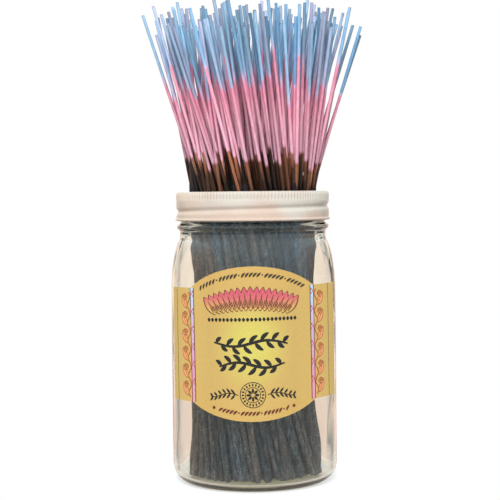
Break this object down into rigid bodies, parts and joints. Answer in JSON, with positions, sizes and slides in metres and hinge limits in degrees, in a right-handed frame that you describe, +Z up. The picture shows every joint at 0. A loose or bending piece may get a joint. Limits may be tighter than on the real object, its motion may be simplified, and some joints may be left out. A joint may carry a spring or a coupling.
{
  "type": "jar of incense sticks",
  "caption": "Clear glass screw-top preserving jar with a painted metal band and a wrap-round paper label, holding a fanned bundle of dipped incense sticks that stand out of its mouth.",
  "frame": {"origin": "middle of the ring that the jar stands on, under the middle of the whole", "axes": "+Z up along the jar's axis, -Y towards the middle of the label, +X to the viewer's right"},
  "size_m": [0.1305, 0.1216, 0.2838],
  "materials": {
    "clear_glass": "gloss",
    "cream_paint": "satin",
    "printed_paper": "satin",
    "dipped_sticks": "matte"
  },
  "bodies": {
    "root": {"glass_jar": "clear_glass", "screw_band": "cream_paint", "paper_label": "printed_paper", "incense_bundle": "dipped_sticks"}
  },
  "joints": []
}
